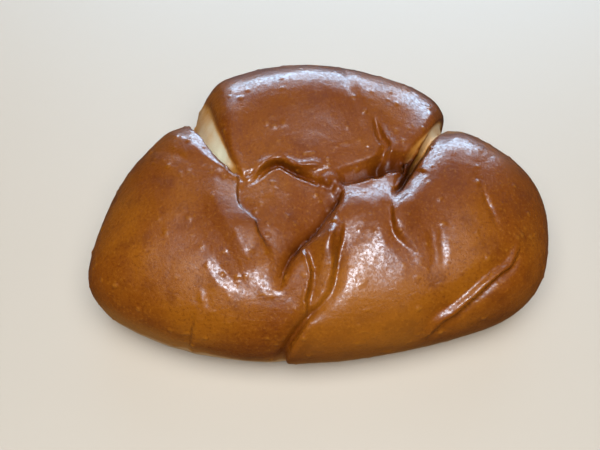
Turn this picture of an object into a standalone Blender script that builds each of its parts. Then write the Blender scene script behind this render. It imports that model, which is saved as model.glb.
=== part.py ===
"""Cream bun: one solid baked bun in three lobes, with two deep cuts at the back and folds in its crust.

Lengths are millimetres until the last step, which scales the mesh to metres.
X runs along the bun, Y from the near side to the lobed far side, Z up from the table.
"""

import bmesh
import bpy
import numpy as np

# Driving dimensions, in millimetres
BASE_INSET = 7.0  # how far the flat base's edge lies inside the widest line
BULGE_Z = 13.0  # height of the widest line
SPINE_X = (-26.0, 26.0)  # ends of the level line that the dome closes on
SPINE_Y = -4.0
LEVEL = 32.0  # height of the plain dome
RIM_REACH = 45.0  # usual distance from that line to the rim
LOW_SKIN = 20.0  # length of skin from the base to the widest line
HIGH_SKIN = 62.0  # length of skin from the widest line to the top
CUT_FADE = 9.0  # a cut reaches its full depth this far above the widest line
END_FADE = 2.5  # how fast a fold dies away past its end

# Shape of the dome's side, as plain numbers
SPINE_SHARE = 0.55  # where along the spine a rim point's row ends, as a share of its x
TOP_POWER = 2.4  # how flat the dome is before it turns down
FAR_POWER = 1.2  # how much flatter it stays towards the far side
RIM_FAR = 45.0  # y from which the whole of that counts
SIDE_POWER = 1 / 2.2
LOW_OUT_POWER = 0.9
LOW_UP_POWER = 0.85
END_SHARE = 0.7  # a point lies past an end if less than this share of its distance is sideways

# How finely the dome is sampled and the solid is built, in millimetres
GRID_STEP = 0.4
ROUTE_STEP = 0.5
SECTION_STEP = 0.05
SECTION_ROUNDING = 0.22  # spread of the rounding of a cross-section's corners
ROUNDING_STEPS = 16
CURVE_STEPS = 24
WELD = 0.02
VOXEL = 0.8
BASE_SLACK = 0.35  # what lies this near the lowest point becomes the flat base
MOST_TRIANGLES = 11600

# Widest line seen from above, clockwise from the left tip
RIM_LEFT = [(-61, -30), (-64.3, -21.5), (-61.2, -4), (-55.5, 10), (-47, 19.5), (-40.5, 24.5)]
RIM_LEFT_CUT = [(-37.8, 30.2), (-34.2, 36.8)]
RIM_MIDDLE = [(-29.5, 41.8), (-18, 46), (-5, 47), (10, 44.8), (25.5, 40), (34.5, 34), (37, 27.5)]
RIM_RIGHT_CUT = [(36, 23.8)]
RIM_RIGHT = [(43.5, 21), (54, 15), (61.5, 6), (64, -6), (61, -22), (52.5, -32)]
RIM_NEAR = [(38, -38), (20, -42.6), (0, -45.5), (-20, -45), (-38, -42), (-53, -36)]
RIM = RIM_LEFT + RIM_LEFT_CUT + RIM_MIDDLE + RIM_RIGHT_CUT + RIM_RIGHT + RIM_NEAR

# Soft swellings of the dome: centre x and y, spread along x and y, height
SWELLS = [
    (0, 30, 30, 18, 8.2),  # middle lobe
    (-41, 2, 14, 20, 3),  # left lobe
    (42, 0, 17, 18, 2.5),  # right lobe
    (18, -14.5, 10, 10, 2.5),  # near right
    (-18, -16, 12, 10, 2.8),  # near left
    (-6, -12, 9, 9, -1.2),  # hollow flap between the lobes
]

# Outer end of either cut, down the far side
END_SECTION = [
    (-7, 0, 0), (-3, 0, 0.5), (-1, 0, -1.4), (0, 0, -3), (1.2, 0, -1.6), (4, 0, 0.3), (8, 0, 0),
]

# Each fold is a route over the dome (x, y, z), how strong and how wide it is along that
# route, and a cross-section: distance to the right of the route, sideways pull, rise.
# A fold with side -1 has its cross-section the other way round, and one with down is
# lowered straight down instead of square to the skin.
FOLDS = [
    {  # left cut, from its inner end out to the rim: crust lip, drop, pale wall, brown edge
        "route": [
            (-22.5, -2, 33), (-26, 1.5, 33), (-29.5, 5, 33), (-34, 11.5, 31), (-38, 18.5, 26),
            (-41, 25, 16),
        ],
        "strength": [0.1, 0.5, 0.8, 1, 1, 0.5],
        "width": [0.2, 0.38, 0.62, 1, 1.5, 1.75],
        "section": [
            (-10, 0, 0), (-7, 0, 0.8), (-4.2, 0, 1.3), (-1, 0.3, 0.1), (-0.4, 0.5, -1.4), (0, 0, -8),
            (2, 0, -6.8), (6.2, 0, -2.4), (7.4, -0.2, -1), (8.8, -0.2, 0), (10.4, -0.2, 0.5),
            (12, 0, 0.5), (15, 0, 0),
        ],
        "down": True,
    },
    {  # right cut: dark inner end, then a tan web and the crest of the right lobe
        "route": [
            (17.3, -14, 33), (18.3, -10.5, 33), (19.8, -6.5, 33), (21.8, -2, 33), (24.5, 3, 33),
            (29, 9, 32), (34.5, 18, 27), (38, 24, 17),
        ],
        "strength": [0.15, 0.45, 0.65, 0.85, 1, 1, 1, 0.5],
        "width": [0.35, 0.5, 0.7, 0.95, 1.05, 1, 1, 1],
        "section": [
            (-9, 0, 0), (-5, 0, 0.4), (-3.2, 0, 0.1), (-2, 0, -0.9), (-1.2, 0, -2.6), (-0.5, 0, -5),
            (0, 0, -6.2), (0.6, 0, -4.5), (1.1, 0, -1.3), (3, 0, -0.5), (5.2, 0, 0.5), (7.5, 0, 0.8),
            (11, 0, 0.5), (16, 0, 0),
        ],
        "down": True,
    },
    {  # left cut on the far side
        "route": [(-39, 23, 24), (-37.5, 27.5, 17), (-37, 28, 10), (-35, 24, 2)],
        "strength": [0, 0.9, 1, 0.4],
        "width": [1, 1, 1, 1],
        "section": END_SECTION,
    },
    {  # right cut on the far side
        "route": [(36.5, 22, 24), (37.5, 24.5, 17), (37.5, 24.5, 10), (35, 21, 2)],
        "strength": [0, 0.9, 1, 0.4],
        "width": [1, 1, 1, 1],
        "section": END_SECTION,
    },
    {  # left half of the middle lobe's near edge, over the flap
        "route": [
            (-24, -0.5, 33), (-18.5, -1, 33), (-15.5, 1, 33), (-12, 2.8, 33), (-9, 1, 33), (-5, -1, 32),
            (1, -4.5, 32),
        ],
        "strength": [0.05, 0.2, 0.6, 1, 1, 0.7, 0.15],
        "width": [0.8, 1, 1, 1, 1, 1, 1],
        "section": [
            (-8, 0, 0), (-5, 0, 0.2), (-2.2, 0.1, 0.2), (-1.4, 0.3, -0.6), (-0.9, 0.2, -2),
            (-0.4, 0, -3.1), (0.4, 0, -2.4), (0.9, 0, -0.4), (1.7, 0, 0.4), (4, 0, 0.1), (7, 0, 0),
        ],
    },
    {  # right half of that edge
        "route": [
            (1, -4.5, 32), (5, -3.2, 32), (9.5, -1.8, 32.5), (14.5, -0.2, 32.5), (19.5, 1.4, 33),
            (24, 2.8, 33),
        ],
        "strength": [0.2, 0.6, 0.8, 1, 1, 0.8],
        "width": [1, 1, 1, 1, 1, 0.8],
        "section": [
            (-12, 0, 0), (-7, 0, 0.1), (-4.6, 0, -0.1), (-2.8, 0, -2.2), (-1, 0, -3.1), (-0.2, 0, -3.4),
            (0.5, 0, -2.3), (1.1, 0, -1.5), (3, 0, -1.1), (5.5, 0, -0.5), (8, 0, -0.1), (11, 0, 0.1),
            (14, 0, 0),
        ],
    },
    {  # small lip with a hollow under it
        "route": [
            (-21.5, -2.6, 33), (-18.8, -1.8, 33), (-17.2, 0, 33), (-15.6, 2.1, 33), (-13, 3.2, 33),
            (-10.3, 3.1, 32.5), (-8.2, 2, 32), (-6, 1.3, 32), (-2.5, 1.6, 32), (1.5, 1.2, 32),
        ],
        "strength": [0, 0.8, 1, 1, 1, 1, 0.9, 0.9, 0.8, 0],
        "width": [0.8, 0.8, 0.9, 1, 1, 1, 1.1, 1.5, 1.6, 1.2],
        "section": [
            (-3, 0, 0), (-1.6, 0, 0.3), (-0.9, 0, 1.1), (0.2, 0, 0.8), (0.7, 0, -0.6), (1.6, 0, -0.5),
            (2.6, 0, 0),
        ],
    },
    {  # knob where the two halves meet
        "route": [
            (-0.7, -5, 32), (0.6, -3, 32), (2.5, -1.6, 32), (4.2, -3.4, 32), (4.6, -6.5, 32),
            (4, -9, 32),
        ],
        "strength": [0, 1, 1, 1, 0.7, 0],
        "width": [1, 1, 1, 1, 1, 1],
        "section": [(-2.4, 0, 0), (-1, 0, 1.1), (0, 0, 1.7), (1, 0, 1.1), (2.4, 0, 0)],
    },
    {  # edge of the left lobe, stepping down to the flap
        "route": [
            (-23, -3, 33), (-23, -6, 33), (-22.5, -10, 33), (-21, -12.5, 33), (-18, -15.5, 32.5),
            (-17, -18.5, 32), (-15, -22, 32), (-13, -26, 31),
        ],
        "strength": [0.6, 0.8, 1, 1, 1, 0.9, 0.6, 0],
        "width": [1, 1, 1, 1, 1, 1, 1, 1],
        "section": [
            (-13, 0, 0), (-9, 0, 0.4), (-5.5, 0, 1.2), (-1.2, 0.1, 0.2), (-0.3, 0.3, -0.3),
            (0.3, 0.2, -1.3), (0.9, 0, -1.9), (2.2, 0, -1.6), (5, 0, -0.8), (9, 0, 0),
        ],
        "side": -1,
    },
    {  # main valley, from the middle lobe towards the near side
        "route": [
            (6, -3.5, 32), (4.8, -7.5, 32), (3.2, -10.5, 32), (0.5, -15, 32), (-2, -18.5, 31.5),
            (-4.5, -21.5, 31.5), (-6.5, -24, 31), (-8.5, -27, 30.5), (-10, -30.5, 29.5),
            (-11, -34, 28.5),
        ],
        "strength": [0.2, 0.8, 1, 1, 1, 1, 1, 0.8, 0.6, 0],
        "width": [0.8, 1, 1, 1, 1, 1, 1, 1, 0.9, 0.8],
        "section": [
            (-9, 0, 0), (-5, 0, 0.7), (-2.6, 0.2, 0.9), (-1.5, 0.5, 0.5), (-0.8, 0.8, -0.5),
            (-0.3, 0.8, -2), (0.2, 0.4, -4), (0.8, 0, -3.6), (1.6, 0, -2.3), (3, 0, -1.5), (5, 0, -0.9),
            (8, 0, -0.3), (11, 0, 0),
        ],
    },
    {  # thin fold down the near side
        "route": [
            (-5.4, -22.8, 31.2), (-4.4, -25, 30.7), (-3.6, -27.6, 30), (-3.4, -29.6, 29.5),
            (-3.8, -32, 28.6), (-4.6, -34.7, 27.3), (-4.6, -37.8, 25.5), (-4, -40.5, 23.5),
        ],
        "strength": [0, 0.8, 1, 1, 1, 1, 0.8, 0],
        "width": [1, 1, 1, 1, 1, 1, 1, 1],
        "section": [
            (-5.5, 0, 0), (-0.8, 0, -1.4), (-0.5, 0, -0.8), (0.2, 0, 0.7), (0.6, 0, 0.5),
            (1.2, 0, 0.15), (2.5, 0, 0),
        ],
    },
    {  # long narrow roll beside that fold
        "route": [
            (4.2, -16.5, 32), (2.9, -19.7, 31.5), (1.6, -22.4, 31), (1.2, -25, 30.5), (0.5, -28, 30),
            (-0.7, -31, 29), (-2.2, -34, 27.5),
        ],
        "strength": [0.4, 1.6, 1.2, 0.95, 0.75, 0.45, 0],
        "width": [0.6, 0.9, 1.15, 1.15, 1, 0.9, 0.7],
        "section": [
            (-3.2, 0, 0), (-2.2, 0, -0.2), (-1.7, 0, 0.85), (-1.4, 0, 1.05), (1, 0, 1.53),
            (1.7, 0, 1.2), (4, 0, 0),
        ],
    },
    {  # edge beside that roll
        "route": [
            (4.6, -16.5, 32), (3.6, -20.5, 31.5), (3.9, -25, 30.5), (3.7, -28.5, 29.5),
            (2.7, -32.4, 28), (0.9, -35.4, 27), (-1.4, -37.6, 25.5), (-3.7, -39.7, 24),
        ],
        "strength": [0, 0.8, 1, 1, 1, 1, 0.9, 0.2],
        "width": [1, 1, 1, 1, 1, 1, 1, 1],
        "section": [
            (-3.5, 0, 0), (-2.2, 0, 0.2), (-1.4, 0, 0), (-0.7, 0, -1.1), (-0.1, 0, -1.2),
            (0.8, 0, -0.7), (2.4, 0, -0.2), (4.5, 0, 0),
        ],
        "side": -1,
    },
    {  # fold from there down to the base
        "route": [
            (-1.4, -37.6, 25.5), (-3.7, -39.7, 24), (-6, -42.3, 21.5), (-8.2, -44.4, 18),
            (-9.6, -45.8, 13), (-9.6, -45.3, 8), (-9, -43, 4),
        ],
        "strength": [0, 0.8, 1.1, 1.2, 1.1, 0.8, 0.3],
        "width": [0.8, 0.9, 1, 1.1, 1.2, 1.2, 1.2],
        "section": [
            (-5, 0, 0), (-2.6, 0, -0.5), (-0.9, 0, -1.9), (-0.4, 0, -1.7), (0.2, 0, 0.2), (1.4, 0, 0.3),
            (4, 0, 0),
        ],
        "side": -1,
    },
    {  # fold below the right cut
        "route": [(18, -12, 33), (18, -16, 33), (19, -19.5, 32.5), (21.5, -22, 32), (25, -24.5, 31)],
        "strength": [0.8, 0.9, 0.7, 0.35, 0],
        "width": [1, 1, 1, 1, 1],
        "section": [
            (-7, 0, 0), (-3, 0, 0.5), (-1.4, 0, 0.6), (-0.4, 0, -0.2), (0.6, 0, -1.3), (1.8, 0, -0.7),
            (4, 0, 0),
        ],
    },
    {  # short upright wrinkle
        "route": [(29, -16.5, 33), (29.3, -21, 32), (29.6, -24, 31), (29, -29, 29)],
        "strength": [0, 1, 1, 0],
        "width": [1, 1, 1, 1],
        "section": [(-3, 0, 0), (-1.2, 0, -0.35), (0, 0, 0.5), (1.2, 0, -0.35), (3, 0, 0)],
    },
    {  # shallow crease on the right lobe
        "route": [(41, 0, 33), (43.5, -9, 32), (47, -18, 30)],
        "strength": [0, 1, 0],
        "width": [1, 1, 1],
        "section": [(-4, 0, 0), (-1.2, 0, 0), (-0.4, 0, -0.3), (0.2, 0, -1), (1, 0, -0.1), (4, 0, 0)],
    },
    {  # long wrinkle low on the right
        "route": [
            (52, -19, 27), (49, -25, 26), (46.5, -27, 26), (42.5, -30, 25), (38.5, -33.5, 23.5),
            (34, -36.5, 21), (30.5, -38.5, 19.5), (27.5, -41, 16),
        ],
        "strength": [0, 0.8, 1, 1, 1, 1, 0.9, 0.2],
        "width": [0.8, 0.8, 0.8, 0.9, 1, 1.2, 1.3, 1.3],
        "section": [
            (-6, 0, 0), (-3, 0, -0.5), (-1, 0, -1.6), (-0.3, 0, -0.4), (0.2, 0, 0.8), (0.9, 0, 0.6),
            (2.2, 0, -0.7), (4, 0, -0.4), (7, 0, 0),
        ],
    },
    {  # crease low on the left
        "route": [
            (-32.5, -36, 25), (-33.5, -39.5, 21.5), (-34.5, -42, 17), (-35.5, -43, 11), (-35.5, -42, 5),
        ],
        "strength": [0, 0.7, 1, 0.8, 0.2],
        "width": [1, 1, 1, 1, 1],
        "section": [
            (-4, 0, 0), (-1, 0, 0.3), (-0.3, 0, 0.2), (0.2, 0, -0.9), (1.5, 0, -0.7), (5, 0, 0),
        ],
    },
    {  # hooked wrinkle on the middle lobe
        "route": [
            (14.5, 17.5, 34), (15.5, 14.5, 33.5), (17, 11, 33), (18.5, 8.5, 32.5), (18.2, 5, 32.5),
            (17, 1.5, 32.5),
        ],
        "strength": [0, 1, 1.2, 1, 1.1, 1.2],
        "width": [0.7, 0.8, 1, 1, 1.2, 1.6],
        "section": [
            (-6, 0, 0), (-3, 0, 0.4), (-1.4, 0, -0.9), (-0.5, 0, 0.8), (0.7, 0, 0.8), (1.4, 0, 0.2),
            (3, 0, -0.1), (6, 0, 0),
        ],
        "side": -1,
    },
    {  # dent on the crown of the middle lobe
        "route": [(7.5, 36, 34), (8, 27, 36.5), (10, 18, 35)],
        "strength": [0.5, 1, 0.3],
        "width": [1, 1, 1],
        "section": [(-5, 0, 0), (-2, 0, 0.3), (0, 0, -0.8), (2, 0, -0.3), (6, 0, 0)],
    },
    {  # dent near the left
        "route": [(-28.5, -25, 31), (-25.5, -30, 30), (-21, -33.5, 28)],
        "strength": [0, 1, 0],
        "width": [1, 1, 1],
        "section": [(-5, 0, 0), (0, 0, -0.6), (2.5, 0, 0.2), (5, 0, 0)],
    },
    {  # short wrinkle on the left lobe
        "route": [(-31.7, -31.8, 28.2), (-31.2, -34.9, 26.4), (-30.7, -37.6, 24.4)],
        "strength": [0, 1, 0],
        "width": [1, 1, 1],
        "section": [(-3, 0, 0), (-1.3, 0, -0.3), (0, 0, 0.4), (1.2, 0, -0.2), (3, 0, 0)],
    },
    {  # far side: two soft creases that run down from the crown
        "route": [(-9, 41, 34), (-8, 46, 24), (-7, 47, 12)],
        "strength": [0, 1, 0.6],
        "width": [1, 1, 1],
        "section": [(-6, 0, 0), (-1.5, 0, -0.3), (0, 0, -1), (1.5, 0, -0.2), (6, 0, 0)],
    },
    {  # second soft crease on the far side
        "route": [(17, 36, 34), (19, 41, 24), (19.5, 42.5, 12)],
        "strength": [0, 1, 0.5],
        "width": [1, 1, 1],
        "section": [(-6, 0, 0), (-1.5, 0, -0.3), (0, 0, -0.9), (1.5, 0, -0.2), (6, 0, 0)],
    },
]


def through(points, closed, step):
    """A smooth curve through the points, sampled evenly, with its length at each sample and point."""
    p = np.array(points, float)
    if closed:
        p = np.vstack([p[-1:], p, p[:2]])
    else:
        p = np.vstack([2 * p[0] - p[1], p, 2 * p[-1] - p[-2]])
    t = np.linspace(0, 1, CURVE_STEPS, endpoint=False)[:, None]
    pieces = []
    for a, b, c, d in zip(p[:-3], p[1:-2], p[2:-1], p[3:]):
        square = (2 * a - 5 * b + 4 * c - d) * t**2
        cube = (3 * b - a - 3 * c + d) * t**3
        pieces.append(0.5 * (2 * b + (c - a) * t + square + cube))
    curve = np.vstack(pieces + [p[-2:-1]])
    run = np.concatenate([[0], np.cumsum(np.linalg.norm(np.diff(curve, axis=0), axis=1))])
    at = np.linspace(0, run[-1], max(3, round(run[-1] / step) + 1))
    return np.stack([np.interp(at, run, column) for column in curve.T], 1), at, run[::CURVE_STEPS]


def crown(x, y):
    """Height of the top over each place."""
    z = np.full_like(x, LEVEL)
    for cx, cy, sx, sy, height in SWELLS:
        z = z + height * np.exp(-(((x - cx) / sx) ** 2) - ((y - cy) / sy) ** 2)
    return z


def dome():
    """Rows of points from the middle of the base, round the bulge, up to the spine."""
    rim = through(RIM, True, GRID_STEP)[0][:-1]
    count = len(rim)
    core = np.stack([np.clip(rim[:, 0] * SPINE_SHARE, *SPINE_X), np.full(count, SPINE_Y)], 1)
    edge = 1 - BASE_INSET / RIM_REACH
    power = TOP_POWER + FAR_POWER * np.clip(rim[:, 1] / RIM_FAR, 0, 1)
    rows = []

    def add(reach, z):
        flat = core + (rim - core) * reach
        rows.append(np.c_[flat, np.broadcast_to(z, count)])

    for reach in np.arange(0, edge, GRID_STEP / RIM_REACH):
        add(reach, 0.0)
    low = round(LOW_SKIN / GRID_STEP)
    for k in range(low):
        turn = 0.5 * np.pi * k / low
        outward = 1 - (1 - edge) * (1 - np.sin(turn) ** LOW_OUT_POWER)
        add(outward, BULGE_Z * (1 - np.cos(turn)) ** LOW_UP_POWER)
    high = round(HIGH_SKIN / GRID_STEP)
    for k in range(high + 1):
        reach = np.cos(0.5 * np.pi * k / high)
        flat = core + (rim - core) * reach
        rise = (1 - reach**power) ** SIDE_POWER
        add(reach, BULGE_Z + (crown(flat[:, 0], flat[:, 1]) - BULGE_Z) * rise)
    grid = np.array(rows)
    i, j = np.meshgrid(np.arange(len(grid) - 1), np.arange(count), indexing="ij")
    a = i * count + j
    b = i * count + (j + 1) % count
    faces = np.stack([a, a + count, b + count, b], -1).reshape(-1, 4)
    return grid.reshape(-1, 3), faces


def normals_of(points, faces):
    p = points[faces]
    across = np.cross(p[:, 2] - p[:, 0], p[:, 3] - p[:, 1])
    total = np.zeros_like(points)
    for k in range(4):
        np.add.at(total, faces[:, k], across)
    return total / np.maximum(np.linalg.norm(total, axis=1, keepdims=True), 1e-9)


def section_table(section):
    """The cross-section as an evenly sampled table with rounded corners."""
    s = np.array(section, float)
    at = np.arange(s[0, 0] - 1, s[-1, 0] + 1, SECTION_STEP)
    apart = np.arange(-ROUNDING_STEPS, ROUNDING_STEPS + 1) * SECTION_STEP
    soft = np.exp(-0.5 * (apart / SECTION_ROUNDING) ** 2)
    soft = soft / soft.sum()
    rows = []
    for column in (1, 2):
        rough = np.interp(at, s[:, 0], s[:, column])
        rows.append(np.convolve(np.pad(rough, ROUNDING_STEPS, mode="edge"), soft, mode="valid"))
    return at, rows[0], rows[1]


def press_fold(fold, points, normals, on_top, moved):
    """Moves the points near one fold's route by its cross-section."""
    route, at, knots = through(fold["route"], False, ROUTE_STEP)
    strength = np.interp(at, knots, fold["strength"])
    width = np.interp(at, knots, fold["width"])
    side = fold.get("side", 1)
    table_at, table_pull, table_rise = section_table(fold["section"])
    reach = max(abs(table_at[0]), table_at[-1]) * width.max()
    box = (points[on_top] > route.min(0) - reach) & (points[on_top] < route.max(0) + reach)
    near = on_top[box.all(1)]
    own = points[near]
    nearest = np.array([np.argmin(((route - p) ** 2).sum(1)) for p in own])
    forward = np.gradient(route, axis=0)
    forward = forward / np.linalg.norm(forward, axis=1, keepdims=True)
    gap = own - route[nearest]
    distance = np.linalg.norm(gap, axis=1)
    right = np.cross(forward[nearest], normals[near])
    right = right / np.maximum(np.linalg.norm(right, axis=1, keepdims=True), 1e-9)
    sideways = (gap * right).sum(1)
    d = distance * np.sign(sideways) * side / width[nearest]
    at_end = (nearest == 0) | (nearest == len(route) - 1)
    past = at_end & (np.abs(sideways) < END_SHARE * np.abs(d))
    power = strength[nearest] * np.where(past, np.exp(-((distance / END_FADE) ** 2)), 1.0)
    pull = np.interp(d, table_at, table_pull, 0, 0) * power * side
    rise = np.interp(d, table_at, table_rise, 0, 0) * power
    if fold.get("down"):
        lift = np.array([[0.0, 0.0, 1.0]]) * np.clip((own[:, 2:] - BULGE_Z) / CUT_FADE, 0, 1)
    else:
        lift = normals[near]
    moved[near] += lift * rise[:, None] + right * pull[:, None]


def apply_folds(points, normals):
    moved = points.copy()
    on_top = np.nonzero(points[:, 2] > BASE_SLACK)[0]
    for fold in FOLDS:
        press_fold(fold, points, normals, on_top, moved)
    return moved


def clear_scene():
    for obj in list(bpy.data.objects):
        bpy.data.objects.remove(obj, do_unlink=True)


def crust_material():
    material = bpy.data.materials.new("crust")
    material.use_nodes = True
    shader = material.node_tree.nodes["Principled BSDF"]
    shader.inputs["Base Color"].default_value = (0.27, 0.10, 0.022, 1)
    shader.inputs["Roughness"].default_value = 0.34
    shader.inputs["Metallic"].default_value = 0.0
    return material


def mesh_object(name, points, faces):
    mesh = bpy.data.meshes.new(name)
    mesh.from_pydata(points.tolist(), [], faces.tolist())
    obj = bpy.data.objects.new(name, mesh)
    bpy.context.scene.collection.objects.link(obj)
    work = bmesh.new()
    work.from_mesh(mesh)
    bmesh.ops.remove_doubles(work, verts=work.verts, dist=WELD)
    bmesh.ops.recalc_face_normals(work, faces=work.faces)
    work.to_mesh(mesh)
    work.free()
    return obj


def baked(obj):
    """Replaces the object's mesh with the result of its modifiers."""
    graph = bpy.context.evaluated_depsgraph_get()
    mesh = bpy.data.meshes.new_from_object(obj.evaluated_get(graph))
    obj.modifiers.clear()
    obj.data = mesh


def skin(obj):
    """Turns the folded sheet, which may cross itself, into one closed skin."""
    remesh = obj.modifiers.new("skin", "REMESH")
    remesh.mode = "VOXEL"
    remesh.voxel_size = VOXEL
    smooth = obj.modifiers.new("soften", "SMOOTH")
    smooth.factor = 0.5
    smooth.iterations = 2
    baked(obj)


def thin_out(obj):
    triangles = sum(len(polygon.vertices) - 2 for polygon in obj.data.polygons)
    decimate = obj.modifiers.new("thin", "DECIMATE")
    decimate.ratio = min(1.0, MOST_TRIANGLES / triangles)
    decimate.use_collapse_triangulate = True
    baked(obj)


def settle(obj):
    """Flattens the base, puts the base's middle at the origin and scales to metres."""
    mesh = obj.data
    points = np.empty(len(mesh.vertices) * 3)
    mesh.vertices.foreach_get("co", points)
    points = points.reshape(-1, 3)
    floor = points[:, 2].min()
    points[points[:, 2] < floor + BASE_SLACK, 2] = floor
    middle = (points.min(0) + points.max(0)) / 2
    points -= (middle[0], middle[1], floor)
    mesh.vertices.foreach_set("co", (points / 1000).ravel())
    mesh.update()
    print("size mm", np.round(np.ptp(points, axis=0), 2))


def cream_bun():
    points, faces = dome()
    points = apply_folds(points, normals_of(points, faces))
    bun = mesh_object("cream_bun", points, faces)
    skin(bun)
    thin_out(bun)
    settle(bun)
    bun.data.materials.clear()
    bun.data.materials.append(crust_material())
    bun.data.shade_smooth()
    print("triangles", len(bun.data.polygons))


clear_scene()
cream_bun()
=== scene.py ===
# %% [markdown]
# A cream bun is a glove-shaped bun: a disc of dough is folded over its filling, two cuts are made
# in the folded edge, and the oven swells it until the crust wrinkles where the pieces meet.
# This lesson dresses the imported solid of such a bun. The solid has the right size and the main
# folds, but few faces, so a finer skin takes its place, made by the same steps. Lengths are
# millimetres up to the step that scales the skin to metres.

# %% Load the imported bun
import math

import bmesh
import bpy
import numpy as np
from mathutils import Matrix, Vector
from mathutils.kdtree import KDTree


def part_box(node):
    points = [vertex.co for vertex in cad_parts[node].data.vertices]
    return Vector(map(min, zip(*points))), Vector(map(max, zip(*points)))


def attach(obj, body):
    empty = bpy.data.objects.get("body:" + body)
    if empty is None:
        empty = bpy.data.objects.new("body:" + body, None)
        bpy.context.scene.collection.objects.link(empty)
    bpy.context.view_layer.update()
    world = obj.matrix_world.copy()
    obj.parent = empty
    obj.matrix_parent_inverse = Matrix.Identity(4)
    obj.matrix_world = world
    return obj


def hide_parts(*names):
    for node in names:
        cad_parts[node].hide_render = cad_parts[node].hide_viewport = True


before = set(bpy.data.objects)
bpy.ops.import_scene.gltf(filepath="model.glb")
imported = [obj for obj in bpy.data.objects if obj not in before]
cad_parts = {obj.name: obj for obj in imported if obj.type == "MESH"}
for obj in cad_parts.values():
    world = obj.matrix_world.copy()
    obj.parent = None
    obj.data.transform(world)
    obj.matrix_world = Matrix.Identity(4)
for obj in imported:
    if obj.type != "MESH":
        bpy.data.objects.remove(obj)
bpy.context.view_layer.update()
BUN_NODE = "cream_bun"

# %% [markdown]
# The outline is the bun's widest line, seen from above. It runs through a few points for each
# lobe and each cut, and a smooth curve joins them. The dome above it swells most at the middle
# lobe, and a hollow flap lies between the three lobes. It could be sculpted by hand, but a formula
# keeps each measure where it can be read and changed.

# %% Sizes of the plain dome
BASE_INSET = 7.0  # how far the flat base's edge lies inside the widest line
BULGE_Z = 13.0  # height of the widest line
SPINE_X = (-26.0, 26.0)  # ends of the level line that the dome closes on
SPINE_Y = -4.0
SPINE_SHARE = 0.55  # where along the spine a rim point's row ends, as a share of its x
LEVEL = 32.0  # height of the plain dome
RIM_REACH = 45.0  # usual distance from the spine to the rim
LOW_SKIN = 20.0  # length of skin from the base to the widest line
HIGH_SKIN = 62.0  # length of skin from the widest line to the top
TOP_POWER = 2.4  # how flat the dome is before it turns down
FAR_POWER = 1.2  # how much flatter it stays towards the far side
RIM_FAR = 45.0  # y from which the whole of that counts
SIDE_POWER = 1 / 2.2  # how upright the skin leaves the widest line
LOW_OUT_POWER = 0.9  # bend of the skin below the widest line, outward
LOW_UP_POWER = 0.85  # and upward
GRID_STEP = 0.45  # spacing of the points

# Widest line seen from above, clockwise from the near left
RIM_LEFT = [(-61, -30), (-64.3, -21.5), (-61.2, -4), (-55.5, 10), (-47, 19.5), (-40.5, 24.5)]
RIM_LEFT_CUT = [(-37.8, 30.2), (-34.2, 36.8)]
RIM_MIDDLE = [(-29.5, 41.8), (-18, 46), (-5, 47), (10, 44.8), (25.5, 40), (34.5, 34), (37, 27.5)]
RIM_RIGHT_CUT = [(36, 23.8)]
RIM_RIGHT = [(43.5, 21), (54, 15), (61.5, 6), (64, -6), (61, -22), (52.5, -32)]
RIM_NEAR = [(38, -38), (20, -42.6), (0, -45.5), (-20, -45), (-38, -42), (-53, -36)]
RIM = RIM_LEFT + RIM_LEFT_CUT + RIM_MIDDLE + RIM_RIGHT_CUT + RIM_RIGHT + RIM_NEAR

# Soft swellings of the dome: centre x and y, spread along x and y, height
SWELLS = [
    (0, 30, 30, 18, 8.2),  # middle lobe
    (-41, 2, 14, 20, 3.0),  # left lobe
    (42, 0, 17, 18, 2.5),  # right lobe
    (18, -14.5, 10, 10, 2.5),  # near right
    (-18, -16, 12, 10, 2.8),  # near left
    (-6, -12, 9, 9, -1.2),  # hollow flap between the lobes
]
print("outline points:", len(RIM), "swellings:", len(SWELLS))

# %% A smooth curve through a few points
CURVE_STEPS = 24


def through(points, closed, step):
    """The curve, sampled evenly, with its length at each sample and at each given point."""
    p = np.array(points, float)
    if closed:
        p = np.vstack([p[-1:], p, p[:2]])
    else:
        p = np.vstack([2 * p[0] - p[1], p, 2 * p[-1] - p[-2]])
    t = np.linspace(0, 1, CURVE_STEPS, endpoint=False)[:, None]
    pieces = []
    for a, b, c, d in zip(p[:-3], p[1:-2], p[2:-1], p[3:]):
        square = (2 * a - 5 * b + 4 * c - d) * t**2
        cube = (3 * b - a - 3 * c + d) * t**3
        pieces.append(0.5 * (2 * b + (c - a) * t + square + cube))
    curve = np.vstack(pieces + [p[-2:-1]])
    run = np.concatenate([[0], np.cumsum(np.linalg.norm(np.diff(curve, axis=0), axis=1))])
    at = np.linspace(0, run[-1], max(3, round(run[-1] / step) + 1))
    return np.stack([np.interp(at, run, column) for column in curve.T], 1), at, run[::CURVE_STEPS]


outline_run = through(RIM, True, GRID_STEP)[1]
print("outline length mm:", round(float(outline_run[-1]), 1))

# %% Rows of points from the base, round the bulge, up to the spine
def crown(x, y):
    """Height of the top over each place."""
    z = np.full_like(x, LEVEL)
    for cx, cy, sx, sy, height in SWELLS:
        z = z + height * np.exp(-(((x - cx) / sx) ** 2) - ((y - cy) / sy) ** 2)
    return z


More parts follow.
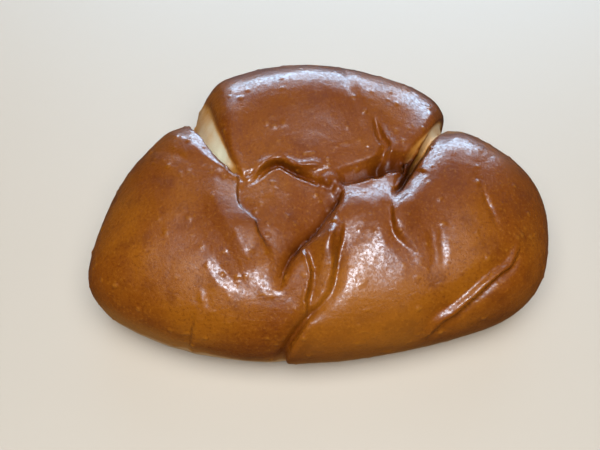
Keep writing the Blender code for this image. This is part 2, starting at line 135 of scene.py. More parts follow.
def dome(step):
    rim = through(RIM, True, step)[0][:-1]
    count = len(rim)
    core = np.stack([np.clip(rim[:, 0] * SPINE_SHARE, *SPINE_X), np.full(count, SPINE_Y)], 1)
    edge = 1 - BASE_INSET / RIM_REACH
    power = TOP_POWER + FAR_POWER * np.clip(rim[:, 1] / RIM_FAR, 0, 1)
    rows = []

    def add(reach, z):
        flat = core + (rim - core) * reach
        rows.append(np.c_[flat, np.broadcast_to(z, count)])

    for reach in np.arange(0, edge, step / RIM_REACH):
        add(reach, 0.0)
    low = round(LOW_SKIN / step)
    for k in range(low):
        turn = 0.5 * np.pi * k / low
        outward = 1 - (1 - edge) * (1 - np.sin(turn) ** LOW_OUT_POWER)
        add(outward, BULGE_Z * (1 - np.cos(turn)) ** LOW_UP_POWER)
    high = round(HIGH_SKIN / step)
    for k in range(high + 1):
        reach = np.cos(0.5 * np.pi * k / high)
        flat = core + (rim - core) * reach
        rise = (1 - reach**power) ** SIDE_POWER
        add(reach, BULGE_Z + (crown(flat[:, 0], flat[:, 1]) - BULGE_Z) * rise)
    grid = np.array(rows)
    i, j = np.meshgrid(np.arange(len(grid) - 1), np.arange(count), indexing="ij")
    a = i * count + j
    b = i * count + (j + 1) % count
    faces = np.stack([a, a + count, b + count, b], -1).reshape(-1, 4)
    return grid.reshape(-1, 3), faces


dome_points, dome_faces = dome(GRID_STEP)
print("dome points:", len(dome_points), "height mm:", round(float(dome_points[:, 2].max()), 2))

# %% [markdown]
# Every cut, fold and wrinkle is one stroke over the dome. A stroke has a route, a strength and a
# width along it, and a cross-section: how far the skin is pulled sideways and how far it rises
# at each distance to the right of the route. One function can then make a deep cut, a lapped
# fold and a fine wrinkle, and each can be read and changed by itself.

# %% The two cuts
def names_from(first):
    return [fold["name"] for fold in FOLDS[first:]]


FOLDS = []
FOLDS.append({
    "name": "left cut",
    "route": [
        (-22.5, -2, 33), (-26, 1.5, 33), (-29.5, 5, 33), (-34, 11.5, 31), (-38, 18.5, 26),
        (-41, 25, 16),
    ],
    "strength": [0.1, 0.5, 0.8, 1, 1, 0.5],
    "width": [0.2, 0.38, 0.62, 1.0, 1.5, 1.75],
    "section": [
        (-10, 0, 0), (-7, 0, 0.8), (-4.2, 0, 1.3), (-1.0, 0.3, 0.1), (-0.4, 0.5, -1.4), (0, 0, -8),
        (2, 0, -6.8), (6.2, 0, -2.4), (7.4, -0.2, -1), (8.8, -0.2, 0), (10.4, -0.2, 0.5),
        (12, 0, 0.5), (15, 0, 0),
    ],
    "down": True,
    "dough": (-0.2, 6.8),
    "dough_along": [0, 0.7, 1, 0.85, 0.62, 0.55],
})
FOLDS.append({
    "name": "right cut",
    "route": [
        (17.3, -14, 33), (18.3, -10.5, 33), (19.8, -6.5, 33), (21.8, -2, 33), (24.5, 3, 33),
        (29, 9, 32), (34.5, 18, 27), (38, 24, 17),
    ],
    "strength": [0.15, 0.45, 0.65, 0.85, 1, 1, 1, 0.5],
    "width": [0.35, 0.5, 0.7, 0.95, 1.05, 1, 1, 1],
    "section": [
        (-9, 0, 0), (-5, 0, 0.4), (-3.2, 0, 0.1), (-2, 0, -0.9), (-1.2, 0, -2.6), (-0.5, 0, -5),
        (0, 0, -6.2), (0.6, 0, -4.5), (1.1, 0, -1.3), (3.0, 0, -0.5), (5.2, 0, 0.5), (7.5, 0, 0.8),
        (11, 0, 0.5), (16, 0, 0),
    ],
    "down": True,
    "dough": (-2.8, 0.4),
    "dough_along": [0, 0, 0, 0, 0.25, 0.65, 0.75, 0.7],
})
END_SECTION = [
    (-7, 0, 0), (-3, 0, 0.5), (-1, 0, -1.4), (0, 0, -3), (1.2, 0, -1.6), (4, 0, 0.3), (8, 0, 0),
]
FOLDS.append({
    "name": "left cut on the far side",
    "route": [(-39, 23, 24), (-37.5, 27.5, 17), (-37, 28, 10), (-35, 24, 2)],
    "strength": [0, 0.9, 1, 0.4],
    "width": [1, 1, 1, 1],
    "section": END_SECTION,
    "dough": (-1.5, 7),
    "dough_along": [0.6, 0.6, 0.5, 0.4],
})
FOLDS.append({
    "name": "right cut on the far side",
    "route": [(36.5, 22, 24), (37.5, 24.5, 17), (37.5, 24.5, 10), (35, 21, 2)],
    "strength": [0, 0.9, 1, 0.4],
    "width": [1, 1, 1, 1],
    "section": END_SECTION,
    "dough": (-2.0, 2.0),
    "dough_along": [0.8, 0.8, 0.8, 0.6],
})
print("cuts:", names_from(0))

# %% [markdown]
# On the real bun the middle lobe laps over a flap of crust between the lobes. Its near edge is
# drawn in two halves, since the left half arches up and the right half runs nearly straight. A
# small lip with a hollow under it follows the left half, and a knob sits where the halves meet.

# %% The near edge of the middle lobe
FIRST_EDGE = len(FOLDS)
FOLDS.append({
    "name": "left half of the middle lobe's near edge",
    "route": [
        (-24, -0.5, 33), (-18.5, -1, 33), (-15.5, 1, 33), (-12, 2.8, 33), (-9, 1, 33),
        (-5, -1, 32), (1, -4.5, 32),
    ],
    "strength": [0.05, 0.2, 0.6, 1, 1, 0.7, 0.15],
    "width": [0.8, 1, 1, 1, 1, 1, 1],
    "section": [
        (-8, 0, 0), (-5, 0, 0.2), (-2.2, 0.1, 0.2), (-1.4, 0.3, -0.6), (-0.9, 0.2, -2.0),
        (-0.4, 0, -3.1), (0.4, 0, -2.4), (0.9, 0, -0.4), (1.7, 0, 0.4), (4, 0, 0.1), (7, 0, 0),
    ],
})
FOLDS.append({
    "name": "right half of that edge",
    "route": [
        (1, -4.5, 32), (5, -3.2, 32), (9.5, -1.8, 32.5), (14.5, -0.2, 32.5), (19.5, 1.4, 33),
        (24, 2.8, 33),
    ],
    "strength": [0.2, 0.6, 0.8, 1, 1, 0.8],
    "width": [1, 1, 1, 1, 1, 0.8],
    "section": [
        (-12, 0, 0), (-7, 0, 0.1), (-4.6, 0, -0.1), (-2.8, 0, -2.2), (-1, 0, -3.1),
        (-0.2, 0, -3.4), (0.5, 0, -2.3), (1.1, 0, -1.5), (3, 0, -1.1), (5.5, 0, -0.5),
        (8, 0, -0.1), (11, 0, 0.1), (14, 0, 0),
    ],
})
FOLDS.append({
    "name": "small lip with a hollow under it",
    "route": [
        (-21.5, -2.6, 33), (-18.8, -1.8, 33), (-17.2, 0, 33), (-15.6, 2.1, 33), (-13, 3.2, 33),
        (-10.3, 3.1, 32.5), (-8.2, 2, 32), (-6, 1.3, 32), (-2.5, 1.6, 32), (1.5, 1.2, 32),
    ],
    "strength": [0, 0.8, 1, 1, 1, 1, 0.9, 0.9, 0.8, 0],
    "width": [0.8, 0.8, 0.9, 1, 1, 1, 1.1, 1.5, 1.6, 1.2],
    "section": [
        (-3, 0, 0), (-1.6, 0, 0.3), (-0.9, 0, 1.1), (0.2, 0, 0.8), (0.7, 0, -0.6), (1.6, 0, -0.5),
        (2.6, 0, 0),
    ],
})
FOLDS.append({
    "name": "knob where the two halves meet",
    "route": [
        (-0.7, -5, 32), (0.6, -3, 32), (2.5, -1.6, 32), (4.2, -3.4, 32), (4.6, -6.5, 32),
        (4, -9, 32),
    ],
    "strength": [0, 1, 1, 1, 0.7, 0],
    "width": [1, 1, 1, 1, 1, 1],
    "section": [(-2.4, 0, 0), (-1, 0, 1.1), (0, 0, 1.7), (1, 0, 1.1), (2.4, 0, 0)],
})
print("near edge:", names_from(FIRST_EDGE))

# %% [markdown]
# The three lobes press against each other as they swell, so the crust between them is creased
# into valleys, a roll and thin folds. Each has a steep side and a gentle side, which the
# cross-section says, and side -1 turns the cross-section the other way round.

# %% The folds between the lobes
FIRST_FOLD = len(FOLDS)
FOLDS.append({
    "name": "edge of the left lobe",
    "route": [
        (-23, -3, 33), (-23, -6, 33), (-22.5, -10, 33), (-21, -12.5, 33), (-18, -15.5, 32.5),
        (-17, -18.5, 32), (-15, -22, 32), (-13, -26, 31),
    ],
    "strength": [0.6, 0.8, 1, 1, 1, 0.9, 0.6, 0],
    "width": [1, 1, 1, 1, 1, 1, 1, 1],
    "section": [
        (-13, 0, 0), (-9, 0, 0.4), (-5.5, 0, 1.2), (-1.2, 0.1, 0.2), (-0.3, 0.3, -0.3),
        (0.3, 0.2, -1.3), (0.9, 0, -1.9), (2.2, 0, -1.6), (5, 0, -0.8), (9, 0, 0),
    ],
    "side": -1,
})
FOLDS.append({
    "name": "main valley",
    "route": [
        (6, -3.5, 32), (4.8, -7.5, 32), (3.2, -10.5, 32), (0.5, -15, 32), (-2, -18.5, 31.5),
        (-4.5, -21.5, 31.5), (-6.5, -24, 31), (-8.5, -27, 30.5), (-10, -30.5, 29.5),
        (-11, -34, 28.5),
    ],
    "strength": [0.2, 0.8, 1, 1, 1, 1, 1, 0.8, 0.6, 0],
    "width": [0.8, 1, 1, 1, 1, 1, 1, 1, 0.9, 0.8],
    "section": [
        (-9, 0, 0), (-5, 0, 0.7), (-2.6, 0.2, 0.9), (-1.5, 0.5, 0.5), (-0.8, 0.8, -0.5),
        (-0.3, 0.8, -2), (0.2, 0.4, -4), (0.8, 0, -3.6), (1.6, 0, -2.3), (3, 0, -1.5),
        (5, 0, -0.9), (8, 0, -0.3), (11, 0, 0),
    ],
})
FOLDS.append({
    "name": "thin fold down the near side",
    "route": [
        (-5.4, -22.8, 31.2), (-4.4, -25, 30.7), (-3.6, -27.6, 30), (-3.4, -29.6, 29.5),
        (-3.8, -32, 28.6), (-4.6, -34.7, 27.3), (-4.6, -37.8, 25.5), (-4, -40.5, 23.5),
    ],
    "strength": [0, 0.8, 1, 1, 1, 1, 0.8, 0],
    "width": [1, 1, 1, 1, 1, 1, 1, 1],
    "section": [
        (-5.5, 0, 0), (-0.8, 0, -1.4), (-0.5, 0, -0.8), (0.2, 0, 0.7), (0.6, 0, 0.5),
        (1.2, 0, 0.15), (2.5, 0, 0),
    ],
})
FOLDS.append({
    "name": "long narrow roll",
    "route": [
        (4.2, -16.5, 32), (2.9, -19.7, 31.5), (1.6, -22.4, 31), (1.2, -25, 30.5), (0.5, -28, 30),
        (-0.7, -31, 29), (-2.2, -34, 27.5),
    ],
    "strength": [0.4, 1.6, 1.2, 0.95, 0.75, 0.45, 0],
    "width": [0.6, 0.9, 1.15, 1.15, 1, 0.9, 0.7],
    "section": [
        (-3.2, 0, 0), (-2.2, 0, -0.2), (-1.7, 0, 0.85), (-1.4, 0, 1.05), (1, 0, 1.53),
        (1.7, 0, 1.2), (4, 0, 0),
    ],
})
FOLDS.append({
    "name": "edge beside that roll",
    "route": [
        (4.6, -16.5, 32), (3.6, -20.5, 31.5), (3.9, -25, 30.5), (3.7, -28.5, 29.5),
        (2.7, -32.4, 28), (0.9, -35.4, 27), (-1.4, -37.6, 25.5), (-3.7, -39.7, 24),
    ],
    "strength": [0, 0.8, 1, 1, 1, 1, 0.9, 0.2],
    "width": [1, 1, 1, 1, 1, 1, 1, 1],
    "section": [
        (-3.5, 0, 0), (-2.2, 0, 0.2), (-1.4, 0, 0), (-0.7, 0, -1.1), (-0.1, 0, -1.2),
        (0.8, 0, -0.7), (2.4, 0, -0.2), (4.5, 0, 0),
    ],
    "side": -1,
})
FOLDS.append({
    "name": "fold from there down to the base",
    "route": [
        (-1.4, -37.6, 25.5), (-3.7, -39.7, 24), (-6, -42.3, 21.5), (-8.2, -44.4, 18),
        (-9.6, -45.8, 13), (-9.6, -45.3, 8), (-9, -43, 4),
    ],
    "strength": [0, 0.8, 1.1, 1.2, 1.1, 0.8, 0.3],
    "width": [0.8, 0.9, 1, 1.1, 1.2, 1.2, 1.2],
    "section": [
        (-5, 0, 0), (-2.6, 0, -0.5), (-0.9, 0, -1.9), (-0.4, 0, -1.7), (0.2, 0, 0.2),
        (1.4, 0, 0.3), (4, 0, 0),
    ],
    "side": -1,
})
FOLDS.append({
    "name": "fold below the right cut",
    "route": [(18, -12, 33), (18, -16, 33), (19, -19.5, 32.5), (21.5, -22, 32), (25, -24.5, 31)],
    "strength": [0.8, 0.9, 0.7, 0.35, 0],
    "width": [1, 1, 1, 1, 1],
    "section": [
        (-7, 0, 0), (-3, 0, 0.5), (-1.4, 0, 0.6), (-0.4, 0, -0.2), (0.6, 0, -1.3), (1.8, 0, -0.7),
        (4, 0, 0),
    ],
})
print("folds:", names_from(FIRST_FOLD))

# %% [markdown]
# Smaller marks break up the smooth lobes: short upright wrinkles, one long wrinkle low on the
# right, shallow creases and dents. They are strokes too, only weaker and narrower.

# %% Wrinkles, creases and dents
FIRST_WRINKLE = len(FOLDS)
FOLDS.append({
    "name": "short upright wrinkle",
    "route": [(29, -16.5, 33), (29.3, -21, 32), (29.6, -24, 31), (29, -29, 29)],
    "strength": [0, 1, 1, 0],
    "width": [1, 1, 1, 1],
    "section": [(-3, 0, 0), (-1.2, 0, -0.35), (0, 0, 0.5), (1.2, 0, -0.35), (3, 0, 0)],
})
FOLDS.append({
    "name": "shallow crease on the right lobe",
    "route": [(41, 0, 33), (43.5, -9, 32), (47, -18, 30)],
    "strength": [0, 1, 0],
    "width": [1, 1, 1],
    "section": [(-4, 0, 0), (-1.2, 0, 0), (-0.4, 0, -0.3), (0.2, 0, -1), (1, 0, -0.1), (4, 0, 0)],
})
FOLDS.append({
    "name": "long wrinkle low on the right",
    "route": [
        (52, -19, 27), (49, -25, 26), (46.5, -27, 26), (42.5, -30, 25), (38.5, -33.5, 23.5),
        (34, -36.5, 21), (30.5, -38.5, 19.5), (27.5, -41, 16),
    ],
    "strength": [0, 0.8, 1, 1, 1, 1, 0.9, 0.2],
    "width": [0.8, 0.8, 0.8, 0.9, 1, 1.2, 1.3, 1.3],
    "section": [
        (-6, 0, 0), (-3, 0, -0.5), (-1, 0, -1.6), (-0.3, 0, -0.4), (0.2, 0, 0.8), (0.9, 0, 0.6),
        (2.2, 0, -0.7), (4, 0, -0.4), (7, 0, 0),
    ],
})
FOLDS.append({
    "name": "crease low on the left",
    "route": [
        (-32.5, -36, 25), (-33.5, -39.5, 21.5), (-34.5, -42, 17), (-35.5, -43, 11),
        (-35.5, -42, 5),
    ],
    "strength": [0, 0.7, 1, 0.8, 0.2],
    "width": [1, 1, 1, 1, 1],
    "section": [
        (-4, 0, 0), (-1, 0, 0.3), (-0.3, 0, 0.2), (0.2, 0, -0.9), (1.5, 0, -0.7), (5, 0, 0),
    ],
})
FOLDS.append({
    "name": "hooked wrinkle on the middle lobe",
    "route": [
        (14.5, 17.5, 34), (15.5, 14.5, 33.5), (17, 11, 33), (18.5, 8.5, 32.5), (18.2, 5, 32.5),
        (17, 1.5, 32.5),
    ],
    "strength": [0, 1, 1.2, 1, 1.1, 1.2],
    "width": [0.7, 0.8, 1, 1, 1.2, 1.6],
    "section": [
        (-6, 0, 0), (-3, 0, 0.4), (-1.4, 0, -0.9), (-0.5, 0, 0.8), (0.7, 0, 0.8), (1.4, 0, 0.2),
        (3, 0, -0.1), (6, 0, 0),
    ],
    "side": -1,
})
FOLDS.append({
    "name": "dent on the crown of the middle lobe",
    "route": [(7.5, 36, 34), (8, 27, 36.5), (10, 18, 35)],
    "strength": [0.5, 1, 0.3],
    "width": [1, 1, 1],
    "section": [(-5, 0, 0), (-2, 0, 0.3), (0, 0, -0.8), (2, 0, -0.3), (6, 0, 0)],
})
FOLDS.append({
    "name": "dent near the left",
    "route": [(-28.5, -25, 31), (-25.5, -30, 30), (-21, -33.5, 28)],
    "strength": [0, 1, 0],
    "width": [1, 1, 1],
    "section": [(-5, 0, 0), (0, 0, -0.6), (2.5, 0, 0.2), (5, 0, 0)],
})
FOLDS.append({
    "name": "short wrinkle on the left lobe",
    "route": [(-31.7, -31.8, 28.2), (-31.2, -34.9, 26.4), (-30.7, -37.6, 24.4)],
    "strength": [0, 1, 0],
    "width": [1, 1, 1],
    "section": [(-3, 0, 0), (-1.3, 0, -0.3), (0, 0, 0.4), (1.2, 0, -0.2), (3, 0, 0)],
})
FOLDS.append({
    "name": "soft crease on the far side",
    "route": [(-9, 41, 34), (-8, 46, 24), (-7, 47, 12)],
    "strength": [0, 1, 0.6],
    "width": [1, 1, 1],
    "section": [(-6, 0, 0), (-1.5, 0, -0.3), (0, 0, -1), (1.5, 0, -0.2), (6, 0, 0)],
})
FOLDS.append({
    "name": "second soft crease on the far side",
    "route": [(17, 36, 34), (19, 41, 24), (19.5, 42.5, 12)],
    "strength": [0, 1, 0.5],
    "width": [1, 1, 1],
    "section": [(-6, 0, 0), (-1.5, 0, -0.3), (0, 0, -0.9), (1.5, 0, -0.2), (6, 0, 0)],
})
print("wrinkles:", names_from(FIRST_WRINKLE))

# %% [markdown]
# To press a stroke, each point of the dome finds the nearest place on the stroke's route. Its
# distance from there, counted to the right or left, is looked up in the cross-section, whose
# corners are rounded first. The two cuts sink straight down, and all else moves along the skin's
# normal. The same look-up tells how much dough a point shows and how deep in a fold it lies.

# %% Helpers for the strokes
SECTION_STEP = 0.05
SECTION_ROUNDING = 0.22  # spread of the rounding of a cross-section's corners
ROUNDING_STEPS = 16
TINY = 1e-9


def unit(vectors):
    return vectors / np.maximum(np.linalg.norm(vectors, axis=1, keepdims=True), TINY)


def normals_of(points, faces):
    p = points[faces]
    across = np.cross(p[:, 2] - p[:, 0], p[:, 3] - p[:, 1])
    total = np.zeros_like(points)
    for k in range(4):
        np.add.at(total, faces[:, k], across)
    return unit(total)


def section_table(section):
    """The cross-section as an evenly sampled table with rounded corners."""
    s = np.array(section, float)
    at = np.arange(s[0, 0] - 1, s[-1, 0] + 1, SECTION_STEP)
    apart = np.arange(-ROUNDING_STEPS, ROUNDING_STEPS + 1) * SECTION_STEP
    soft = np.exp(-0.5 * (apart / SECTION_ROUNDING) ** 2)
    soft = soft / soft.sum()
    rows = []
    for column in (1, 2):
        rough = np.interp(at, s[:, 0], s[:, column])
        rows.append(np.convolve(np.pad(rough, ROUNDING_STEPS, mode="edge"), soft, mode="valid"))
    return at, rows[0], rows[1]


def soft_step(low, high, value):
    t = np.clip((value - low) / (high - low), 0, 1)
    return t * t * (3 - 2 * t)


dome_normals = normals_of(dome_points, dome_faces)
print("normals:", len(dome_normals), "points in a section table:", len(section_table(END_SECTION)[0]))

# %% The function that presses one stroke into the dome
ROUTE_STEP = 0.5
CUT_FADE = 9  # a cut reaches its full depth this far above the widest line
END_FADE = 2.5  # past its end a fold dies away over about this distance
END_SHARE = 0.7  # a point lies past an end if less than this share of its distance is sideways
DOUGH_START = 0.4  # the dough appears within this distance on either side of its start
DOUGH_END = (1.2, 0.8)  # and fades out from so far before its end to so far past it
DOUGH_GAIN = 4  # dough shows in full where the cut has a quarter of its strength


def dough_across(limits, d):
    """1 between the two distances where a cut's wall shows dough, softly 0 outside them."""
    start, end = limits
    opened = soft_step(start - DOUGH_START, start + DOUGH_START, d)
    closed = soft_step(end - DOUGH_END[0], end + DOUGH_END[1], d)
    return opened * (1 - closed)


def press_fold(fold, points, normals, on_top, moved, dough, depth):
    """Moves the points near one stroke, and notes their dough and their depth."""
    route, at, knots = through(fold["route"], False, ROUTE_STEP)
    strength = np.interp(at, knots, fold["strength"])
    width = np.interp(at, knots, fold["width"])
    side = fold.get("side", 1)
    table_at, table_pull, table_rise = section_table(fold["section"])
    reach = max(abs(table_at[0]), table_at[-1]) * width.max()
    box = (points[on_top] > route.min(0) - reach) & (points[on_top] < route.max(0) + reach)
    near = on_top[box.all(1)]
    own = points[near]
    nearest = np.array([np.argmin(((route - p) ** 2).sum(1)) for p in own])
    gap = own - route[nearest]
    distance = np.linalg.norm(gap, axis=1)
    forward = unit(np.gradient(route, axis=0))
    right = unit(np.cross(forward[nearest], normals[near]))
    sideways = (gap * right).sum(1)
    d = distance * (np.sign(sideways) * side) / width[nearest]

    at_end = (nearest == 0) | (nearest == len(route) - 1)
    past = at_end & (np.abs(sideways) < END_SHARE * np.abs(d))
    fade = np.where(past, np.exp(-(distance / END_FADE) ** 2), 1.0)
    power = strength[nearest]
    pull = np.interp(d, table_at, table_pull, 0, 0) * power * fade * side
    rise = np.interp(d, table_at, table_rise, 0, 0) * power * fade
    if fold.get("down"):
        lift = np.array([[0.0, 0.0, 1.0]]) * np.clip((own[:, 2:] - BULGE_Z) / CUT_FADE, 0, 1)
    else:
        lift = normals[near]
    moved[near] += lift * rise[:, None] + right * pull[:, None]
    depth[near] += np.minimum(rise, 0)
    if "dough" in fold:
        along = np.interp(at, knots, fold["dough_along"])[nearest]
        open_here = np.clip(power * DOUGH_GAIN, 0, 1)
        shown = dough_across(fold["dough"], d) * along * open_here * fade
        dough[near] = np.maximum(dough[near], shown)


left_cut = FOLDS[0]
print("dough 3 mm and 12 mm into the left cut:", dough_across(left_cut["dough"], np.array([3.0, 12.0])))

# %% Press all the strokes
TOP_START = 0.4


def apply_folds(points, normals):
    """The moved points, how much each shows dough, and how deep in a fold it lies."""
    moved = points.copy()
    dough = np.zeros(len(points))
    depth = np.zeros(len(points))
    on_top = np.nonzero(points[:, 2] > TOP_START)[0]
    for fold in FOLDS:
        press_fold(fold, points, normals, on_top, moved, dough, depth)
    return moved, dough, depth


folded_points, dough_shown, fold_depth = apply_folds(dome_points, dome_normals)
print("points that show dough:", int((dough_shown > 0.5).sum()))
print("deepest fold mm:", round(float(fold_depth.min()), 2))

# %% [markdown]
# Where the strokes lap over each other the sheet of points crosses itself. A voxel remesh turns
# it into one clean skin, and a light smoothing takes off the voxel steps. A decimation then
# spends the faces where the folds are and leaves few on the flat base.

# %% One clean skin
VOXEL = 0.42
WELD = 0.02
MOST_TRIANGLES = 190000


def mesh_object(name, points, faces):
    mesh = bpy.data.meshes.new(name)
    mesh.from_pydata(points.tolist(), [], faces.tolist())
    obj = bpy.data.objects.new(name, mesh)
    bpy.context.scene.collection.objects.link(obj)
    work = bmesh.new()
    work.from_mesh(mesh)
    bmesh.ops.remove_doubles(work, verts=work.verts, dist=WELD)
    bmesh.ops.recalc_face_normals(work, faces=work.faces)
    work.to_mesh(mesh)
    work.free()
    return obj


def baked(obj):
    """Replaces the object's mesh with the result of its modifiers."""
    graph = bpy.context.evaluated_depsgraph_get()
    mesh = bpy.data.meshes.new_from_object(obj.evaluated_get(graph))
    obj.modifiers.clear()
    obj.data = mesh


def triangle_count(mesh):
    mesh.calc_loop_triangles()
    return len(mesh.loop_triangles)


bun = mesh_object("bun_crust", folded_points, dome_faces)
remesh = bun.modifiers.new("skin", "REMESH")
remesh.mode = "VOXEL"
remesh.voxel_size = VOXEL
smooth = bun.modifiers.new("soften", "SMOOTH")
smooth.factor = 0.5
smooth.iterations = 2
baked(bun)
thin = bun.modifiers.new("thin", "DECIMATE")
thin.ratio = min(1.0, MOST_TRIANGLES / triangle_count(bun.data))
thin.use_collapse_triangulate = True
baked(bun)
print("skin triangles:", triangle_count(bun.data))

# %% [markdown]
# The remesh drops all that was known about the points. Each point of the skin therefore takes
# the mean of its nearest old points, and keeps its dough and its fold depth as two attributes,
# which the material reads later.

# %% Carry the dough and the fold depth over to the skin
NEIGHBOURS = 8


def coordinates(mesh):
    flat = np.empty(len(mesh.vertices) * 3)
    mesh.vertices.foreach_get("co", flat)
    return flat.reshape(-1, 3)


def store(mesh, name, values):
    layer = mesh.attributes.new(name, "FLOAT", "POINT")
    layer.data.foreach_set("value", np.asarray(values, np.float32))


tree = KDTree(len(folded_points))
for index, point in enumerate(folded_points):
    tree.insert(point, index)
tree.balance()
skin_points = coordinates(bun.data)
source = np.array([[hit[1] for hit in tree.find_n(point, NEIGHBOURS)] for point in skin_points])
store(bun.data, "dough", dough_shown[source].mean(1))
store(bun.data, "fold", fold_depth[source].mean(1))
print("attributes:", [a.name for a in bun.data.attributes if a.data_type == "FLOAT"])

# %% Settle it on its base and scale it to metres
BASE_SLACK = 0.35
MM_PER_METRE = 1000


def settle(mesh):
    points = coordinates(mesh)
    floor = points[:, 2].min()
    points[points[:, 2] < floor + BASE_SLACK, 2] = floor
    middle = (points.min(0) + points.max(0)) / 2
    points -= (middle[0], middle[1], floor)
    mesh.vertices.foreach_set("co", (points / MM_PER_METRE).ravel())
    mesh.update()
    return points


settled = settle(bun.data)
print("skin size mm:", np.round(np.ptp(settled, axis=0), 2))

# %% [markdown]
# Baked crust is never smooth: steam lifts small blisters under the egg glaze. They repeat over
# the whole top, so Geometry Nodes make them. The tree scatters points, gives each a radius, and
# lifts the skin near each one into a small dome. Three noises, from broad to sandy, leave the
# skin slightly uneven. Near the base all of that fades out.

# %% A tree of nodes that raises blisters
ON_POINTS = {"data_type": "FLOAT", "domain": "POINT"}
BLISTER_FREE = (0.003, 0.008)  # heights between which the blisters and the unevenness fade in

# Each noise of the skin has its scale, its detail and its share of the unevenness.
WAVE = (95.0, 1.0, 2.4)
RIPPLE = (560.0, 2.0, 0.8)
SAND = (1150.0, 0.0, 0.28)
TREE_INPUTS = {
    "Density": "Float", "Smallest": "Float", "Largest": "Float", "Height": "Float",
    "Unevenness": "Float", "Seed": "Int", "Crust": "Material",
}


def node(tree, kind, settings=None, **values):
    """A node with its settings, then its sockets by name."""
    made = tree.nodes.new(kind)
    for key, value in (settings or {}).items():
        setattr(made, key, value)
    for key, value in values.items():
        socket = made.inputs[key.replace("_", " ")]
        if isinstance(value, bpy.types.NodeSocket):
            tree.links.new(value, socket)
        else:
            socket.default_value = value
    return made


def blister_tree():
    tree = bpy.data.node_groups.new("crust_blisters", "GeometryNodeTree")
    interface = tree.interface
    interface.new_socket("Skin", in_out="INPUT", socket_type="NodeSocketGeometry")
    for name, kind in TREE_INPUTS.items():
        interface.new_socket(name, in_out="INPUT", socket_type="NodeSocket" + kind)
    interface.new_socket("Skin", in_out="OUTPUT", socket_type="NodeSocketGeometry")
    given = tree.nodes.new("NodeGroupInput").outputs
    link = tree.links.new

    place = node(tree, "GeometryNodeInputPosition").outputs[0]
    normal = node(tree, "GeometryNodeInputNormal").outputs[0]
    split = node(tree, "ShaderNodeSeparateXYZ", Vector=place)
    high = node(tree, "ShaderNodeMapRange", From_Min=BLISTER_FREE[0], From_Max=BLISTER_FREE[1])
    link(split.outputs["Z"], high.inputs["Value"])

    scatter = node(tree, "GeometryNodeDistributePointsOnFaces", Mesh=given["Skin"], Seed=given["Seed"])
    link(given["Density"], scatter.inputs["Density"])
    size = node(tree, "FunctionNodeRandomValue", {"data_type": "FLOAT"})
    link(given["Smallest"], size.inputs[2])
    link(given["Largest"], size.inputs[3])
    link(given["Seed"], size.inputs["Seed"])
    sized = node(tree, "GeometryNodeStoreNamedAttribute", ON_POINTS, Name="radius")
    link(scatter.outputs["Points"], sized.inputs["Geometry"])
    link(size.outputs[1], sized.inputs["Value"])
    dots = sized.outputs["Geometry"]

    near = node(tree, "GeometryNodeProximity", {"target_element": "POINTS"})
    link(dots, near.inputs[0])
    nearest = node(tree, "GeometryNodeSampleNearest", {"domain": "POINT"})
    link(dots, nearest.inputs["Geometry"])
    radius_of = node(tree, "GeometryNodeInputNamedAttribute", {"data_type": "FLOAT"}, Name="radius")
    radius = node(tree, "GeometryNodeSampleIndex", ON_POINTS)
    link(dots, radius.inputs["Geometry"])
    link(radius_of.outputs[0], radius.inputs["Value"])
    link(nearest.outputs["Index"], radius.inputs["Index"])

    def maths(operation, first, second=0.0):
        made = tree.nodes.new("ShaderNodeMath")
        made.operation = operation
        for socket, value in zip(made.inputs, (first, second)):
            if isinstance(value, bpy.types.NodeSocket):
                link(value, socket)
            else:
                socket.default_value = value
        return made.outputs[0]

    share = maths("DIVIDE", near.outputs["Distance"], radius.outputs[0])
    hump = maths("SUBTRACT", 1.0, maths("MULTIPLY", share, share))
    hump = maths("MAXIMUM", hump, 0.0)
    hump = maths("MULTIPLY", hump, hump)
    raised = maths("MULTIPLY", hump, maths("MULTIPLY", radius.outputs[0], given["Height"]))

    def rough(scale, detail, amount):
        grains = node(tree, "ShaderNodeTexNoise", {"noise_dimensions": "3D"}, Vector=place)
        grains.inputs["Scale"].default_value = scale
        grains.inputs["Detail"].default_value = detail
        return maths("MULTIPLY", maths("SUBTRACT", grains.outputs[0], 0.5), amount)

    uneven = maths("ADD", rough(*WAVE), maths("ADD", rough(*RIPPLE), rough(*SAND)))
    uneven = maths("MULTIPLY", uneven, given["Unevenness"])
    lift = maths("MULTIPLY", maths("ADD", raised, uneven), high.outputs["Result"])
    offset = node(tree, "ShaderNodeVectorMath", {"operation": "SCALE"}, Vector=normal, Scale=lift)

    marked = node(tree, "GeometryNodeStoreNamedAttribute", ON_POINTS, Name="blister")
    link(given["Skin"], marked.inputs["Geometry"])
    link(hump, marked.inputs["Value"])
    moved = node(tree, "GeometryNodeSetPosition", Geometry=marked.outputs["Geometry"])
    link(offset.outputs["Vector"], moved.inputs["Offset"])
    real = node(tree, "GeometryNodeRealizeInstances", Geometry=moved.outputs[0])
    dressed = node(tree, "GeometryNodeSetMaterial", Geometry=real.outputs[0], Material=given["Crust"])
    link(dressed.outputs[0], tree.nodes.new("NodeGroupOutput").inputs[0])
    return tree


blisters = blister_tree()
print("tree nodes:", len(blisters.nodes))
